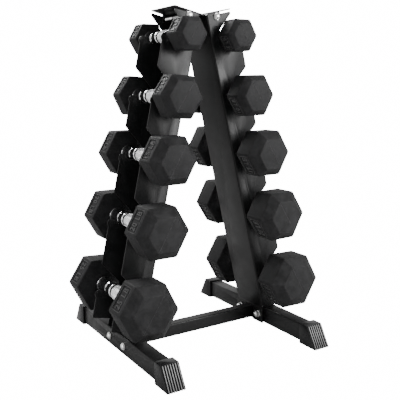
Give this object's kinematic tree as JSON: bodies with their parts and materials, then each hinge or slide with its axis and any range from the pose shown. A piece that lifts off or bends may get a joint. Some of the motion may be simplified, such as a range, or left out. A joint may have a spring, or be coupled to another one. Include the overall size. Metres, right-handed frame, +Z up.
{
  "type": "dumbbell rack",
  "caption": "A-frame dumbbell rack: two leaning bent-steel uprights with hooked cradles on two foot tubes, loaded with pairs of rubber hex dumbbells.",
  "frame": {"origin": "middle of the footprint, on the floor", "axes": "+X along the cross brace towards the right-hand upright, +Y along the foot tubes towards the rear, +Z up"},
  "size_m": [0.5035, 0.475, 0.7306],
  "materials": {
    "black_powder_coat": "satin black powder coat over bent sheet and tube steel",
    "end_cap_plastic": "moulded black plastic with ribs",
    "zinc_hardware": "bright zinc-plated steel",
    "chrome_handle": "polished chrome with a knurled grip",
    "head_rubber": "matt black moulded rubber",
    "cast_iron_core": "grey cast iron"
  },
  "bodies": {
    "rack": {"left_foot_tube": "black_powder_coat", "right_foot_tube": "black_powder_coat", "left_front_cap": "end_cap_plastic", "left_rear_cap": "end_cap_plastic", "right_front_cap": "end_cap_plastic", "right_rear_cap": "end_cap_plastic", "cross_brace": "black_powder_coat", "left_brace_plate": "black_powder_coat", "right_brace_plate": "black_powder_coat", "left_upright": "black_powder_coat", "right_upright": "black_powder_coat", "top_bracket": "black_powder_coat", "top_bolts": "zinc_hardware", "top_washers": "zinc_hardware", "top_nuts": "zinc_hardware", "brace_bolts": "zinc_hardware", "brace_washers": "zinc_hardware", "brace_nuts": "zinc_hardware"},
    "left_25_dumbbell": {"left_25_handle": "chrome_handle", "left_25_front_head": "head_rubber", "left_25_rear_head": "head_rubber", "left_25_cores": "cast_iron_core"},
    "left_20_dumbbell": {"left_20_handle": "chrome_handle", "left_20_front_head": "head_rubber", "left_20_rear_head": "head_rubber", "left_20_cores": "cast_iron_core"},
    "left_15_dumbbell": {"left_15_handle": "chrome_handle", "left_15_front_head": "head_rubber", "left_15_rear_head": "head_rubber", "left_15_cores": "cast_iron_core"},
    "left_10_dumbbell": {"left_10_handle": "chrome_handle", "left_10_front_head": "head_rubber", "left_10_rear_head": "head_rubber", "left_10_cores": "cast_iron_core"},
    "left_5_dumbbell": {"left_5_handle": "chrome_handle", "left_5_front_head": "head_rubber", "left_5_rear_head": "head_rubber", "left_5_cores": "cast_iron_core"},
    "right_25_dumbbell": {"right_25_handle": "chrome_handle", "right_25_front_head": "head_rubber", "right_25_rear_head": "head_rubber", "right_25_cores": "cast_iron_core"},
    "right_20_dumbbell": {"right_20_handle": "chrome_handle", "right_20_front_head": "head_rubber", "right_20_rear_head": "head_rubber", "right_20_cores": "cast_iron_core"},
    "right_15_dumbbell": {"right_15_handle": "chrome_handle", "right_15_front_head": "head_rubber", "right_15_rear_head": "head_rubber", "right_15_cores": "cast_iron_core"},
    "right_10_dumbbell": {"right_10_handle": "chrome_handle", "right_10_front_head": "head_rubber", "right_10_rear_head": "head_rubber", "right_10_cores": "cast_iron_core"},
    "right_5_dumbbell": {"right_5_handle": "chrome_handle", "right_5_front_head": "head_rubber", "right_5_rear_head": "head_rubber", "right_5_cores": "cast_iron_core"}
  },
  "joints": [
    {"name": "left_25_lift", "type": "slide", "parent": "rack", "child": "left_25_dumbbell", "axis": [-0.6461, 0, 0.7632], "range_m": [0, 0.15]},
    {"name": "left_20_lift", "type": "slide", "parent": "rack", "child": "left_20_dumbbell", "axis": [-0.6461, 0, 0.7632], "range_m": [0, 0.15]},
    {"name": "left_15_lift", "type": "slide", "parent": "rack", "child": "left_15_dumbbell", "axis": [-0.6461, 0, 0.7632], "range_m": [0, 0.15]},
    {"name": "left_10_lift", "type": "slide", "parent": "rack", "child": "left_10_dumbbell", "axis": [-0.6461, 0, 0.7632], "range_m": [0, 0.15]},
    {"name": "left_5_lift", "type": "slide", "parent": "rack", "child": "left_5_dumbbell", "axis": [-0.6461, 0, 0.7632], "range_m": [0, 0.15]},
    {"name": "right_25_lift", "type": "slide", "parent": "rack", "child": "right_25_dumbbell", "axis": [0.6461, 0, 0.7632], "range_m": [0, 0.15]},
    {"name": "right_20_lift", "type": "slide", "parent": "rack", "child": "right_20_dumbbell", "axis": [0.6461, 0, 0.7632], "range_m": [0, 0.15]},
    {"name": "right_15_lift", "type": "slide", "parent": "rack", "child": "right_15_dumbbell", "axis": [0.6461, 0, 0.7632], "range_m": [0, 0.15]},
    {"name": "right_10_lift", "type": "slide", "parent": "rack", "child": "right_10_dumbbell", "axis": [0.6461, 0, 0.7632], "range_m": [0, 0.15]},
    {"name": "right_5_lift", "type": "slide", "parent": "rack", "child": "right_5_dumbbell", "axis": [0.6461, 0, 0.7632], "range_m": [0, 0.15]}
  ]
}
